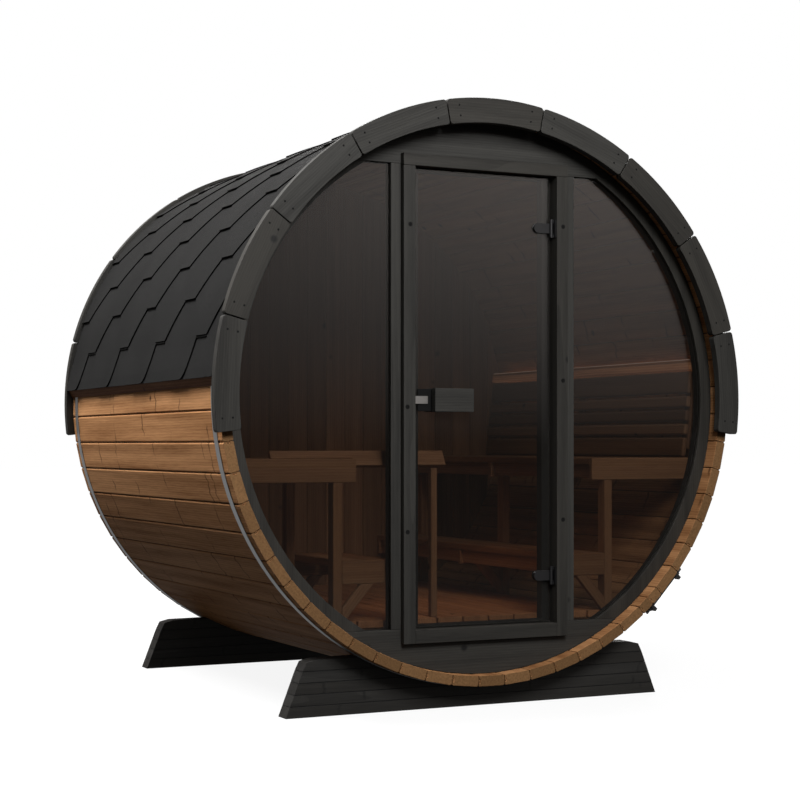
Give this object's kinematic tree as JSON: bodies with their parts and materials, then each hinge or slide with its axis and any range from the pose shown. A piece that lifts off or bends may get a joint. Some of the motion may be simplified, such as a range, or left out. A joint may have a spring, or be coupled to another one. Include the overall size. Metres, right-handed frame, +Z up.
{
  "type": "barrel sauna",
  "caption": "Round timber sauna cabin on two cradles, with a shingled roof, black fascia boards, a glazed front with a hinged glass door, and slatted benches inside.",
  "frame": {"origin": "on the ground under the middle of the barrel", "axes": "+Z up, +Y from the glazed front to the rear wall, +X to the right seen from the front"},
  "size_m": [2.054, 1.77, 2.102],
  "materials": {
    "black_wood": "black stained, matt",
    "stave_wood": "heat treated, oiled",
    "shingle": "mineral grit",
    "steel": "rolled",
    "window_glass": "bronze tint",
    "door_glass": "bronze tint",
    "inner_wood": "heat treated, planed",
    "lamp": "opal",
    "black_metal": "satin black",
    "handle": "dark stained"
  },
  "bodies": {
    "sauna": {"cradle_front": "black_wood", "cradle_rear": "black_wood", "fascia_front": "black_wood", "fascia_rear": "black_wood", "front_ring_left": "black_wood", "front_ring_right": "black_wood", "header_panel": "black_wood", "sill_panel": "black_wood", "window_posts": "black_wood", "door_jamb_left": "black_wood", "door_jamb_right": "black_wood", "door_head": "black_wood", "door_threshold": "black_wood", "door_stop": "black_wood", "staves_top": "stave_wood", "staves_left": "stave_wood", "staves_right": "stave_wood", "staves_bottom": "stave_wood", "eave_battens": "stave_wood", "roof_left": "shingle", "roof_right": "shingle", "roof_ridge": "shingle", "hoops": "steel", "hoop_tensioners": "steel", "window_left": "window_glass", "window_right": "window_glass", "rear_wall": "inner_wood", "floor_boards": "inner_wood", "floor_bearers": "inner_wood", "bench_seat_left": "inner_wood", "bench_seat_right": "inner_wood", "bench_frame_left": "inner_wood", "bench_frame_right": "inner_wood", "guard_rail": "inner_wood", "step_left": "inner_wood", "step_right": "inner_wood", "backrest": "inner_wood", "light_valance": "inner_wood", "light_strip": "lamp", "hinge_leaves": "black_metal"},
    "door": {"door_glass": "door_glass", "door_hinge_clamps": "black_metal", "door_handle": "handle", "latch_plate": "steel"}
  },
  "joints": [
    {"name": "door_hinge", "type": "hinge", "parent": "sauna", "child": "door", "pos_m": [0.27, -0.802, 1.075], "axis": [0, 0, 1], "range_deg": [0, 110]}
  ]
}
